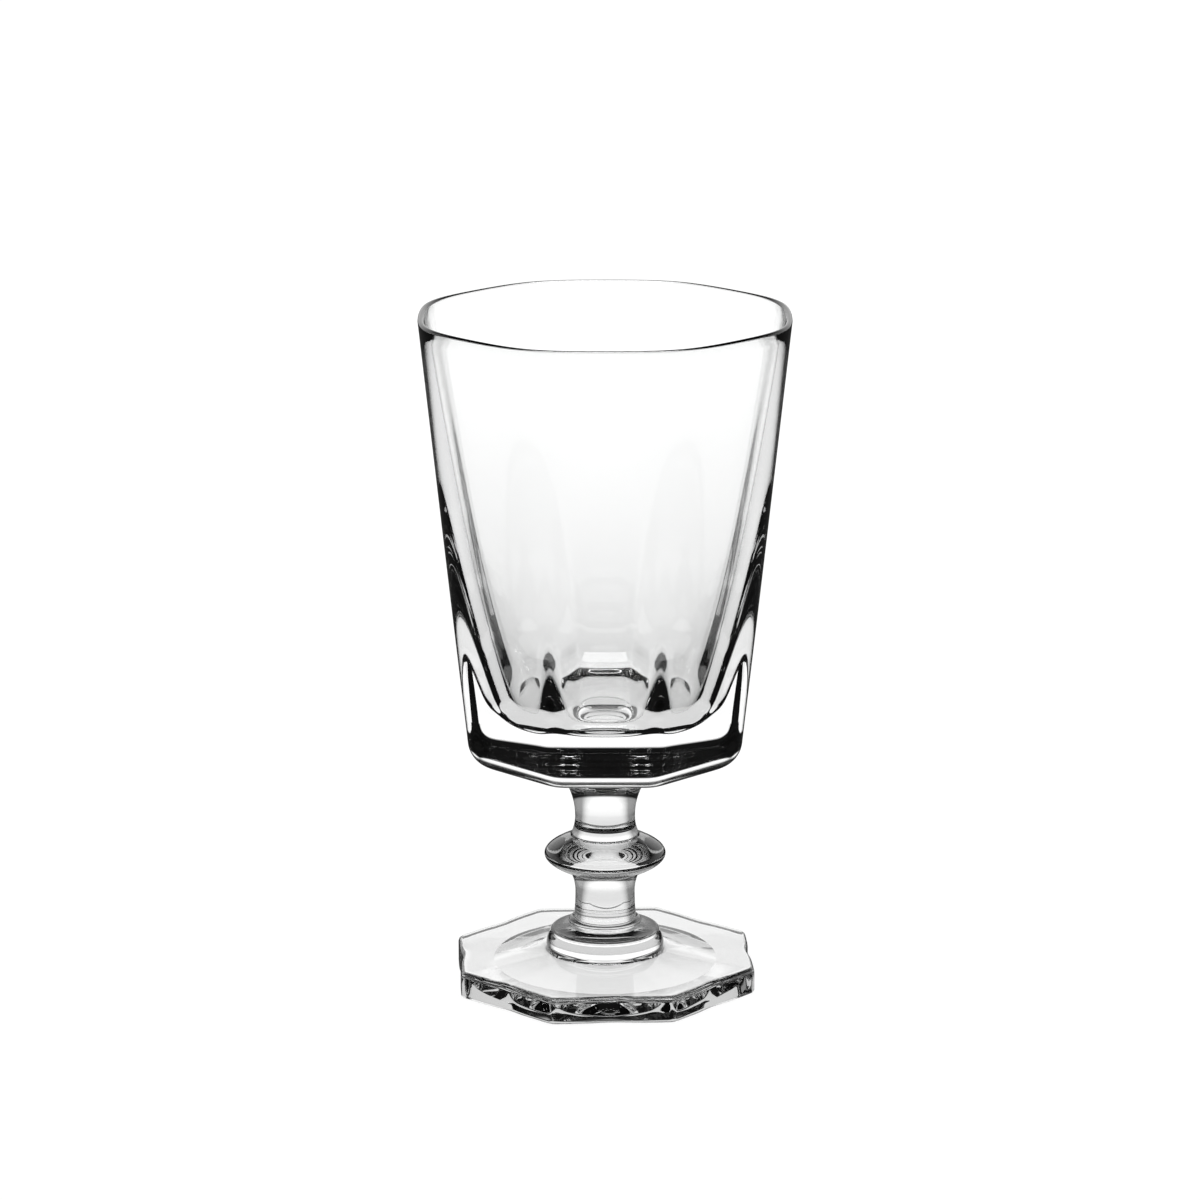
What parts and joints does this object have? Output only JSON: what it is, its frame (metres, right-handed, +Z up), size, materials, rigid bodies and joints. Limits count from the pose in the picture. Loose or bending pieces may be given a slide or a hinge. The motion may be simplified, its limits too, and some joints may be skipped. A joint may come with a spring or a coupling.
{
  "type": "water goblet",
  "caption": "Clear glass water goblet: a tapered panelled bowl with a heavy base on a knopped stem, a dished collar and a scalloped octagonal foot, for holding a drink.",
  "frame": {"origin": "centre of the foot, on the surface that the goblet stands on", "axes": "+Z up the stem to the rim, -Y out of the bowl panel that faces the viewer"},
  "size_m": [0.086, 0.086, 0.16],
  "materials": {
    "bowl_glass": "clear, polished, thin at the rim and heavy at the base",
    "stem_glass": "clear, fire-polished, with faint cords where the gathers join",
    "foot_glass": "clear, with ground and polished sides"
  },
  "bodies": {
    "root": {"bowl": "bowl_glass", "upper_stem": "stem_glass", "knop": "stem_glass", "lower_stem": "stem_glass", "collar": "stem_glass", "foot": "foot_glass"}
  },
  "joints": []
}
